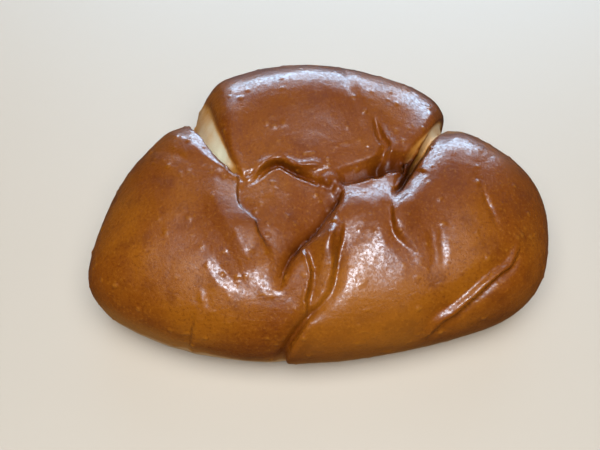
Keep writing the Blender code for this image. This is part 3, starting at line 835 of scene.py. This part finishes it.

# %% [markdown]
# The crust has one material. Its colour follows the baking: brown and glossy on top, paler near the
# base, and almost raw dough in the cuts that opened in the oven. In the folds, painted shade makes it
# darker and more orange.
# Shader maths is written as Python expressions, with a small class round a socket.

# %% A class that turns expressions into nodes
class Value:
    """A socket that Python's operators can work with."""

    tree = None

    def __init__(self, socket):
        self.socket = socket

    @classmethod
    def add_node(cls, kind, settings=None, **inputs):
        """A node with its settings, then its sockets by name, or by number as i0, i1 and so on."""
        made = cls.tree.nodes.new(kind)
        for key, setting in (settings or {}).items():
            setattr(made, key, setting)
        for key, value in inputs.items():
            numbered = key[0] == "i" and key[1:].isdigit()
            socket = made.inputs[int(key[1:]) if numbered else key.replace("_", " ")]
            cls.feed(socket, value)
        return made

    @classmethod
    def feed(cls, socket, value):
        if isinstance(value, Value):
            cls.tree.links.new(value.socket, socket)
        else:
            socket.default_value = value

    @classmethod
    def maths(cls, operation, *values, clamp=False):
        made = cls.tree.nodes.new("ShaderNodeMath")
        made.operation = operation
        made.use_clamp = clamp
        for socket, value in zip(made.inputs, values):
            cls.feed(socket, value)
        return cls(made.outputs[0])

    def __add__(self, other):
        return Value.maths("ADD", self, other)

    __radd__ = __add__

    def __sub__(self, other):
        return Value.maths("SUBTRACT", self, other)

    def __rsub__(self, other):
        return Value.maths("SUBTRACT", other, self)

    def __mul__(self, other):
        return Value.maths("MULTIPLY", self, other)

    __rmul__ = __mul__

    def clamp(self):
        return Value.maths("ADD", self, 0.0, clamp=True)

    def between(self, low, high):
        """0 below low, 1 above high, and a smooth rise between them."""
        smooth_rise = {"interpolation_type": "SMOOTHSTEP"}
        made = Value.add_node("ShaderNodeMapRange", smooth_rise, Value=self, From_Min=low, From_Max=high)
        return Value(made.outputs["Result"])


SPOT_CORE = 0.4


def blend(mask, first, second):
    """The first colour where the mask is 0, the second where it is 1."""
    made = Value.add_node("ShaderNodeMix", {"data_type": "RGBA", "blend_type": "MIX"}, i0=mask)
    for socket, colour in ((made.inputs[6], first), (made.inputs[7], second)):
        Value.feed(socket, colour if isinstance(colour, Value) else (*colour, 1))
    return Value(made.outputs[2])


def noise(place, scale, detail=2.0, roughness=0.5):
    made = Value.add_node("ShaderNodeTexNoise", {"noise_dimensions": "3D"}, Vector=place, Scale=scale)
    made.inputs["Detail"].default_value = detail
    made.inputs["Roughness"].default_value = roughness
    return Value(made.outputs[0])


def attribute(name):
    return Value(Value.add_node("ShaderNodeAttribute", {"attribute_name": name}).outputs["Fac"])


def spot(place, centre, radius):
    """1 near the centre, fading to 0 at the radius."""
    made = Value.add_node("ShaderNodeVectorMath", {"operation": "DISTANCE"}, i0=place, i1=centre)
    return Value(made.outputs["Value"]).between(radius, radius * SPOT_CORE)


print("core of a spot:", SPOT_CORE, "of its radius")

# %% Colours of the crust and places on it
CRUST_DARK = (0.100, 0.0205, 0.0012)
CRUST = (0.175, 0.0450, 0.0022)
CRUST_LIGHT = (0.243, 0.0750, 0.0036)
SPECK = (0.29, 0.105, 0.009)
GOLDEN = (0.32, 0.115, 0.010)
# Painted shade in the folds: a darker, more orange brown, and a darker one still where the folds are
# deepest
FOLD_SHADE = (0.100, 0.0175, 0.0008)
FOLD_DEEP_SHADE = (0.045, 0.009, 0.0006)
EDGE_TAN = (0.42, 0.19, 0.036)
DOUGH_TAN = (0.46, 0.215, 0.043)
DOUGH_PALE = (0.64, 0.63, 0.49)
RIM_PALE = (0.56, 0.36, 0.18)

# Places with a colour of their own: centre and radius
GOLDEN_PLACE = ((0.010, -0.042, 0.020), 0.024)
RIGHT_WEB = ((0.0372, 0.0165, 0.0265), 0.0055)
GOLDEN_STRENGTH = 0.35
WEB_STRENGTH = 0.6

# Layers of colour over the brown crust. Each has the measure that it follows, the values of it
# where the layer is absent and full, the layer's strength and its colour.
LIGHT_PATCHES = (0.38, 0.66)
CRUST_LAYERS = [
    ("patch", 0.5, 0.72, 0.5, CRUST_DARK),
    ("grain", 0.54, 0.72, 0.6, SPECK),
    ("grain", 0.48, 0.3, 0.55, CRUST_DARK),
    ("blister", 0.15, 0.7, 0.5, SPECK),
    ("height", 0.029, 0.038, 0.4, CRUST_DARK),
]
# Painted shade: the crust turns darker and more orange the deeper a fold lies
FOLD_SHADE_LAYERS = [
    ("fold", 0.4, 3.0, 0.75, FOLD_SHADE),
    ("fold", 1.4, 3.4, 0.85, FOLD_DEEP_SHADE),
]

# Dough: where it begins and covers the crust, where it turns from tan to pale, and its mottling
DOUGH_COVERS = (0.12, 0.75)
DOUGH_PALES = (0.5, 1.05)
DOUGH_MOTTLE = 0.4

# The tan side and the pale rim have the heights where they are absent and full, and how far this
# border wavers. It rises round one place at the near left, within the radius given.
TAN_SIDE = {"heights": (0.0130, 0.0040), "waver": 0.010, "rise": 0.006, "radius": 0.030}
PALE_RIM = {"heights": (0.0080, 0.0054), "waver": 0.005, "rise": 0.0034, "radius": 0.045}
PALE_EDGE = (-0.048, -0.036, 0.006)
TAN_STRENGTH = 0.75
RIM_STRENGTH = 0.8

BROAD_SCALE = 45.0
PATCH_SCALE = 160.0
GRAIN_SCALE = 1400.0
SPARKLE_SCALE = 1500.0
PORE_SCALE = 4200.0
print("crust colours, dark to pale:", [CRUST_DARK, CRUST, CRUST_LIGHT, DOUGH_TAN, DOUGH_PALE])

# %% Colour of the crust
def with_layers(colour, skin, layers):
    for measure, absent, full, strength, layer_colour in layers:
        colour = blend(skin[measure].between(absent, full) * strength, colour, layer_colour)
    return colour


def crust_colour(place, skin):
    """Brown in soft patches, with specks, a darker crown, a golden near side and painted shade in the
    folds.
    """
    colour = blend(skin["broad"].between(*LIGHT_PATCHES), CRUST, CRUST_LIGHT)
    colour = with_layers(colour, skin, CRUST_LAYERS)
    colour = blend(spot(place, *GOLDEN_PLACE) * GOLDEN_STRENGTH, colour, GOLDEN)
    # painted shade in the folds, darker where they are deeper
    return with_layers(colour, skin, FOLD_SHADE_LAYERS)


def low_part(place, height, wave, part):
    """1 near the base and 0 higher up, with a wavering border."""
    edge = height + (wave - 0.5) * part["waver"] - spot(place, PALE_EDGE, part["radius"]) * part["rise"]
    return edge.between(*part["heights"])


def with_pale_parts(colour, place, skin):
    """Adds the tan low side, the dough on the walls of the cuts and the pale rim at the base."""
    height = skin["height"]
    tan = low_part(place, height, skin["broad"], TAN_SIDE)
    colour = blend(tan * TAN_STRENGTH, colour, EDGE_TAN)
    mottled = skin["dough"] + (skin["patch"] - 0.5) * DOUGH_MOTTLE
    inner = blend(mottled.between(*DOUGH_PALES), DOUGH_TAN, DOUGH_PALE)
    colour = blend(skin["dough"].between(*DOUGH_COVERS), colour, inner)
    colour = blend(spot(place, *RIGHT_WEB) * WEB_STRENGTH, colour, DOUGH_TAN)
    rim = low_part(place, height, skin["patch"], PALE_RIM)
    return blend(rim * RIM_STRENGTH, colour, RIM_PALE)


print("layers on the crust:", len(CRUST_LAYERS), "in the folds:", len(FOLD_SHADE_LAYERS))

# %% [markdown]
# The egg glaze is a clear coat over the crust. It is brushed on by hand, so it lies thin in the
# folds, low on the sides and in a few places on the top, which a list of spots says. A very fine
# noise breaks the coat into grains, and gives the sparkle of baked egg.

# %% Gloss of the egg glaze
# Each matt place has its centre, its radius and how much of the glaze is missing there.
MATT_PLACES = [
    ((0.0205, -0.0040, 0.0330), 0.0045, 0.8),
    ((-0.0370, -0.0180, 0.0326), 0.011, 0.7),
    ((0.0218, 0.0141, 0.0324), 0.009, 0.7),
    ((-0.0002, -0.0384, 0.0250), 0.0050, 0.85),
    ((-0.0085, -0.0311, 0.0291), 0.0050, 0.55),
    ((0.0185, 0.034, 0.031), 0.014, 0.75),
    ((-0.0255, 0.036, 0.029), 0.012, 0.75),
    ((0.001, 0.017, 0.035), 0.018, 0.5),
    ((0.0080, 0.0015, 0.033), 0.009, 0.75),
    ((-0.0209, -0.0208, 0.0324), 0.0055, 0.75),
    ((-0.0142, -0.0200, 0.0321), 0.0050, 0.6),
    ((-0.0068, -0.0307, 0.0294), 0.0050, 0.7),
]

# Fold depths, heights and amounts of dough between which the glaze goes from all to least
MATT_FOLD = (1.2, 2.6)
MATT_SIDE = (0.024, 0.010)
MATT_DOUGH = (0.1, 0.5)
FOLD_MISSING = 0.8
SIDE_MISSING = 0.9

# Weight of the coat without a sparkle, what a sparkle adds, and the noise that makes one
COAT_LEAST = 0.14
COAT_SPARKLE = 0.42
SPARKLE_BAND = (0.40, 0.62)

# Roughness of the crust, and what patches, dough and the low side add
CRUST_ROUGHNESS = 0.34
PATCH_ROUGHNESS = 0.16
DOUGH_ROUGHNESS = 0.35
SIDE_ROUGHNESS = 0.2

COAT_ROUGHNESS = 0.17
SPECULAR_LEVEL = 0.12
CRUST_IOR = 1.45


def glaze_over(shader, place, skin):
    """Sets the shader's roughness and coat."""
    dough = skin["dough"]
    side = skin["height"].between(*MATT_SIDE)
    uneven = (skin["patch"] - 0.5) * PATCH_ROUGHNESS
    rough = CRUST_ROUGHNESS + uneven + dough * DOUGH_ROUGHNESS + side * SIDE_ROUGHNESS
    Value.feed(shader.inputs["Roughness"], rough.clamp())

    matt = skin["fold"].between(*MATT_FOLD) * FOLD_MISSING
    for centre, radius, amount in MATT_PLACES:
        matt = matt + spot(place, centre, radius) * amount
    glaze = (1 - dough.between(*MATT_DOUGH)) * (1 - side * SIDE_MISSING) * (1 - matt.clamp())
    sparkle = noise(place, SPARKLE_SCALE, 2.0).between(*SPARKLE_BAND)
    weight = glaze * (COAT_LEAST + sparkle * COAT_SPARKLE)
    Value.feed(shader.inputs["Coat Weight"], weight.clamp())
    shader.inputs["Coat Roughness"].default_value = COAT_ROUGHNESS
    shader.inputs["Specular IOR Level"].default_value = SPECULAR_LEVEL
    shader.inputs["Metallic"].default_value = 0.0
    shader.inputs["IOR"].default_value = CRUST_IOR


print("matt places:", len(MATT_PLACES))

# %% The crust material
GRAIN_HEIGHT = 0.00016
GRAIN_SHARE = 0.6
PORE_SHARE = 0.4


def crust_material():
    material = bpy.data.materials.new("egg_glazed_crust")
    material.use_nodes = True
    tree = material.node_tree
    Value.tree = tree
    shader = tree.nodes["Principled BSDF"]
    place = Value(Value.add_node("ShaderNodeTexCoord").outputs["Object"])
    skin = {
        "height": Value(Value.add_node("ShaderNodeSeparateXYZ", Vector=place).outputs["Z"]),
        "dough": attribute("dough").clamp(),
        "fold": attribute("fold") * -1.0,
        "blister": attribute("blister"),
        "broad": noise(place, BROAD_SCALE, 3.0),
        "patch": noise(place, PATCH_SCALE, 3.0),
        "grain": noise(place, GRAIN_SCALE, 3.0, 0.6),
    }

    colour = with_pale_parts(crust_colour(place, skin), place, skin)
    Value.feed(shader.inputs["Base Color"], colour)
    glaze_over(shader, place, skin)

    relief = skin["grain"] * GRAIN_SHARE + noise(place, PORE_SCALE, 1.0, 0.5) * PORE_SHARE
    bump = Value.add_node("ShaderNodeBump", Strength=1.0, Distance=GRAIN_HEIGHT, Height=relief)
    Value.feed(shader.inputs["Normal"], Value(bump.outputs["Normal"]))
    return material


crust = crust_material()
print("material nodes:", len(crust.node_tree.nodes))

# %% Raise the blisters and keep the result as a plain mesh
BLISTERS = {
    "Density": 26000.0,
    "Smallest": 0.0004,
    "Largest": 0.0012,
    "Height": 0.27,
    "Unevenness": 0.00022,
    "Seed": 7,
    "Crust": crust,
}

lifted = bun.modifiers.new("blisters", "NODES")
lifted.node_group = blisters
for item in blisters.interface.items_tree:
    if item.item_type == "SOCKET" and item.in_out == "INPUT" and item.name in BLISTERS:
        lifted[item.identifier] = BLISTERS[item.name]
baked(bun)
if not bun.data.materials:
    bun.data.materials.append(crust)
bun.data.shade_smooth()
print("crust triangles:", triangle_count(bun.data))
print("materials:", [m.name for m in bun.data.materials])

# %% [markdown]
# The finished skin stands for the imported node. It may not reach outside the node's box, so each
# side that would is drawn in to it.

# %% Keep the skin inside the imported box
def fit_inside(mesh, box):
    points = coordinates(mesh)
    low = np.array(box[0])
    high = np.array(box[1])
    span = np.ptp(points, axis=0)
    scale = np.minimum(1.0, (high - low) / span)
    centre = (points.min(0) + points.max(0)) / 2
    wanted = (low + high) / 2
    points = (points - centre) * scale + wanted
    points[:, 2] += low[2] - points[:, 2].min()
    mesh.vertices.foreach_set("co", points.ravel())
    mesh.update()
    return scale


scale = fit_inside(bun.data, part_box(BUN_NODE))
print("drawn in by:", np.round(1 - scale, 4))

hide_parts(BUN_NODE)
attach(bun, "root")

# %% [markdown]
# The floor is plain and pale. It is kept out of mirror rays, because its light would turn the
# low sides of a glazed bun grey.

# %% Floor
FLOOR_DARK = (0.46, 0.415, 0.35)
FLOOR_LIGHT = (0.50, 0.455, 0.39)
FLOOR_SCALE = 6.0
FLOOR_ROUGHNESS = 0.6
FLOOR_HALF = 1.5


def floor_material():
    material = bpy.data.materials.new("pale_floor")
    material.use_nodes = True
    Value.tree = material.node_tree
    shader = material.node_tree.nodes["Principled BSDF"]
    place = Value(Value.add_node("ShaderNodeTexCoord").outputs["Object"])
    tone = noise(place, FLOOR_SCALE, 2.0)
    Value.feed(shader.inputs["Base Color"], blend(tone, FLOOR_DARK, FLOOR_LIGHT))
    shader.inputs["Roughness"].default_value = FLOOR_ROUGHNESS
    return material


def make_floor(half):
    mesh = bpy.data.meshes.new("floor")
    corners = [(-half, -half, 0), (half, -half, 0), (half, half, 0), (-half, half, 0)]
    mesh.from_pydata(corners, [], [(0, 1, 2, 3)])
    mesh.materials.append(floor_material())
    obj = bpy.data.objects.new("floor", mesh)
    bpy.context.scene.collection.objects.link(obj)
    return obj


floor = make_floor(FLOOR_HALF)
floor.visible_glossy = False
print("floor:", tuple(floor.dimensions))

# %% [markdown]
# A wide cool window stands low behind the bun and draws the bluish gloss along the far edges. A
# weaker one above it softens the upper border of that gloss. A small round skylight with a wide,
# faint halo gives the sparkle on the near side. These four are seen in the glaze only. A broad
# ceiling lamp lights the crust itself, and isn't mirrored in it.

# %% Lights
def area_light(name, place, target, wide, high, power, colour, shape="RECTANGLE"):
    data = bpy.data.lights.new(name, "AREA")
    data.shape = shape
    data.size = wide
    data.size_y = high
    data.energy = power
    data.color = colour
    light = bpy.data.objects.new(name, data)
    bpy.context.scene.collection.objects.link(light)
    light.location = place
    light.rotation_euler = (Vector(target) - Vector(place)).to_track_quat("-Z", "Y").to_euler()
    return light


BUN_TOP = (0, 0, 0.03)
BUN_MIDDLE = (0, 0, 0.02)
BUN_BASE = (0, 0, 0.0)

window = area_light(
    "window", (0.08, 0.80, 0.24), BUN_TOP, wide=1.00, high=0.46, power=31.0, colour=(0.48, 0.73, 1.0),
)
upper_window = area_light(
    "upper_window", (0.08, 0.67, 0.54), BUN_TOP, wide=1.10, high=0.28, power=3.6,
    colour=(0.56, 0.77, 1.0),
)
skylight = area_light(
    "skylight", (-0.02, -0.22, 0.86), BUN_MIDDLE, wide=0.24, high=0.24, power=5.8,
    colour=(0.70, 0.85, 1.0), shape="DISK",
)
halo = area_light(
    "halo", (-0.02, -0.22, 0.90), BUN_MIDDLE, wide=0.56, high=0.56, power=6.0,
    colour=(0.75, 0.87, 1.0), shape="DISK",
)
ceiling = area_light(
    "ceiling", (0.0, -0.20, 0.90), BUN_BASE, wide=1.00, high=0.80, power=15.0,
    colour=(1.0, 0.985, 0.96),
)
for mirrored in (window, upper_window, skylight, halo):
    mirrored.visible_diffuse = False
ceiling.visible_glossy = False

# %% Faint light from all around
ROOM_COLOUR = (0.95, 0.96, 1.0, 1)
ROOM_STRENGTH = 0.04

world = bpy.data.worlds.new("room")
bpy.context.scene.world = world
world.use_nodes = True
background = world.node_tree.nodes["Background"]
background.inputs["Color"].default_value = ROOM_COLOUR
background.inputs["Strength"].default_value = ROOM_STRENGTH
bpy.context.scene.view_settings.view_transform = "Standard"
print("room light:", ROOM_STRENGTH)

# %% [markdown]
# The camera looks down from the near side at about 60 degrees, which is the angle at which the
# lobes, the near folds and the open wall of the left cut show together.

# %% Camera
CAMERA_ELEVATION = math.radians(60)
CAMERA_DISTANCE = 0.235
CAMERA_TARGET = Vector((-0.006, -0.0063, 0.014))
FIELD_OF_VIEW = math.radians(40)
CLIP_START = 0.01

camera_data = bpy.data.cameras.new("camera")
camera_data.sensor_fit = "HORIZONTAL"
camera_data.angle = FIELD_OF_VIEW
camera_data.clip_start = CLIP_START
camera = bpy.data.objects.new("camera", camera_data)
bpy.context.scene.collection.objects.link(camera)
away = Vector((0, -math.cos(CAMERA_ELEVATION), math.sin(CAMERA_ELEVATION)))
camera.location = CAMERA_TARGET + CAMERA_DISTANCE * away
camera.rotation_euler = (-away).to_track_quat("-Z", "Y").to_euler()
bpy.context.scene.camera = camera
print("camera at:", tuple(round(v, 3) for v in camera.location))
